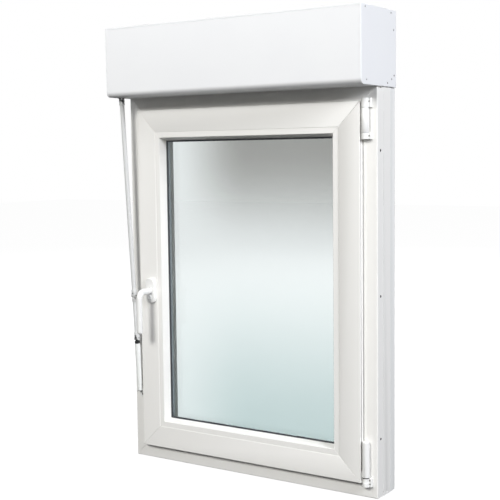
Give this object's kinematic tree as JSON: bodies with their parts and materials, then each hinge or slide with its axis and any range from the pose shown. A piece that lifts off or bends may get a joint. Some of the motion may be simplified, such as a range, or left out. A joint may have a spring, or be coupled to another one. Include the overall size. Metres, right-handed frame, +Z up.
{
  "type": "tilt-and-turn window with crank-driven shutter box",
  "caption": "White window unit: a tilt-and-turn glazed sash with a lever handle, a roller shutter box on top and a folding hand crank that winds the shutter.",
  "frame": {"origin": "underside of the frame's sill, at mid-width and mid-depth of the frame profile", "axes": "+X to the right as seen from the room, +Y to the outside, +Z up"},
  "size_m": [0.776, 0.189, 1.195],
  "materials": {
    "white_upvc": "satin extruded white",
    "box_white": "satin white",
    "seal_grey": "matt dark grey",
    "clear_glass": "clear float",
    "spacer_grey": "mill grey",
    "zinc_steel": "zinc plated",
    "rail_white": "white powder coat",
    "hardware_white": "white powder coat",
    "hinge_steel": "plain steel",
    "rod_grey": "light grey lacquer",
    "knuckle_dark": "matt black",
    "grip_white": "smooth white",
    "slat_grey": "satin light grey",
    "gear_dark": "glass-filled dark grey",
    "clear_blocks": "matt blue grey"
  },
  "bodies": {
    "root": {"frame_sill": "white_upvc", "frame_head": "white_upvc", "frame_jamb_left": "white_upvc", "frame_jamb_right": "white_upvc", "frame_reinforcement": "zinc_steel", "frame_gasket": "seal_grey", "guide_rail_left": "rail_white", "guide_rail_right": "rail_white", "striker_plates": "zinc_steel", "hinge_bottom_bearing": "hardware_white", "hinge_top_bracket": "hardware_white", "fixing_screws": "zinc_steel", "crank_clip": "grip_white", "box_front_cover": "box_white", "box_rear_shell": "box_white", "box_bottom_panel": "box_white", "end_cap_left": "box_white", "end_cap_right": "box_white", "end_cap_screws": "zinc_steel", "shaft_bearing": "gear_dark", "winch_housing": "gear_dark", "crank_outlet": "gear_dark"},
    "hinge_carrier": {"hinge_bottom_pivot": "hardware_white"},
    "sash": {"sash_stile_left": "white_upvc", "sash_stile_right": "white_upvc", "sash_rail_top": "white_upvc", "sash_rail_bottom": "white_upvc", "sash_reinforcement": "zinc_steel", "glazing_bead_left": "white_upvc", "glazing_bead_right": "white_upvc", "glazing_bead_top": "white_upvc", "glazing_bead_bottom": "white_upvc", "pane_inner": "clear_glass", "pane_outer": "clear_glass", "spacer_bar": "spacer_grey", "glazing_gasket_inner": "seal_grey", "glazing_gasket_outer": "seal_grey", "sash_gasket": "seal_grey", "setting_blocks": "clear_blocks", "espagnolette_case": "zinc_steel", "handle_rosette": "hardware_white"},
    "stay": {"stay_arm": "zinc_steel"},
    "handle": {"handle_lever": "hardware_white", "handle_spindle": "hinge_steel"},
    "side_rod": {"drive_rod_side": "zinc_steel"},
    "top_rod": {"drive_rod_top": "zinc_steel"},
    "shutter": {"bottom_bar": "rail_white", "bar_stoppers": "seal_grey", "shutter_curtain": "slat_grey"},
    "shaft": {"winding_shaft": "zinc_steel", "slat_roll": "slat_grey", "worm_wheel": "gear_dark"},
    "crank_head": {"worm_shaft": "hinge_steel"},
    "crank_cross": {"cardan_cross": "hinge_steel"},
    "crank_upper": {"crank_rod": "rod_grey", "fold_pin_upper": "hinge_steel"},
    "crank_middle": {"crank_arm": "rod_grey", "fold_pin_lower": "hinge_steel"},
    "crank_lower": {"grip_core": "knuckle_dark"},
    "crank_sleeve": {"crank_grip": "grip_white"}
  },
  "joints": [
    {"name": "sash_turn", "type": "hinge", "parent": "root", "child": "hinge_carrier", "pos_m": [0.3555, -0.045, 0.1], "axis": [0, 0, 1], "range_deg": [0, 90]},
    {"name": "sash_tilt", "type": "hinge", "parent": "hinge_carrier", "child": "sash", "pos_m": [0.3415, -0.045, 0.046], "axis": [1, 0, 0], "range_deg": [0, 8]},
    {"name": "stay_swing", "type": "hinge", "parent": "hinge_carrier", "child": "stay", "pos_m": [0.3555, -0.045, 0.93], "axis": [0, 0, 1], "range_deg": [0, 20.5]},
    {"name": "handle_turn", "type": "hinge", "parent": "sash", "child": "handle", "pos_m": [-0.305, -0.057, 0.479], "axis": [0, -1, 0], "range_deg": [0, 180]},
    {"name": "side_rod_slide", "type": "slide", "parent": "sash", "child": "side_rod", "axis": [0, 0, 1], "range_m": [0, 0.0361]},
    {"name": "top_rod_slide", "type": "slide", "parent": "sash", "child": "top_rod", "axis": [1, 0, 0], "range_m": [0, 0.0361]},
    {"name": "shutter_travel", "type": "slide", "parent": "root", "child": "shutter", "axis": [0, 0, -1], "range_m": [0, 0.95], "deforming": ["shutter_curtain"]},
    {"name": "shaft_spin", "type": "hinge", "parent": "root", "child": "shaft", "pos_m": [0, -0.02, 1.104], "axis": [-1, 0, 0], "range_deg": [0, 1081]},
    {"name": "crank_spin", "type": "hinge", "parent": "root", "child": "crank_head", "pos_m": [-0.3709, -0.0847, 1.003], "axis": [-0.0165, -0.0463, 0.9988], "range_deg": [0, 4321]},
    {"name": "cardan_pitch", "type": "hinge", "parent": "crank_head", "child": "crank_cross", "pos_m": [-0.3709, -0.0847, 1.003], "axis": [-0.9999, 0.0008, -0.0164], "range_deg": [0, 55]},
    {"name": "cardan_roll", "type": "hinge", "parent": "crank_cross", "child": "crank_upper", "pos_m": [-0.3709, -0.0847, 1.003], "axis": [0, 0.9989, 0.0463], "range_deg": [0, 20]},
    {"name": "arm_fold", "type": "hinge", "parent": "crank_upper", "child": "crank_middle", "pos_m": [-0.36199, -0.05964, 0.46265], "axis": [-0.9999, 0.0008, -0.0164], "range_deg": [0, 90]},
    {"name": "grip_fold", "type": "hinge", "parent": "crank_middle", "child": "crank_lower", "pos_m": [-0.36, -0.05404, 0.3418], "axis": [0.9999, -0.0008, 0.0164], "range_deg": [0, 90.5]},
    {"name": "grip_spin", "type": "hinge", "parent": "crank_lower", "child": "crank_sleeve", "pos_m": [-0.36, -0.05404, 0.3418], "axis": [-0.0165, -0.0463, 0.9988], "continuous": true}
  ],
  "couplings": [
    {"joint": "stay_swing", "follows": "sash_tilt", "ratio": 2.55},
    {"joint": "side_rod_slide", "follows": "handle_turn", "m_per_rad": 0.011459},
    {"joint": "top_rod_slide", "follows": "handle_turn", "m_per_rad": 0.011459},
    {"joint": "shaft_spin", "follows": "shutter_travel", "rad_per_m": 19.842},
    {"joint": "crank_spin", "follows": "shutter_travel", "rad_per_m": 79.367},
    {"joint": "grip_fold", "follows": "arm_fold", "ratio": 1}
  ]
}
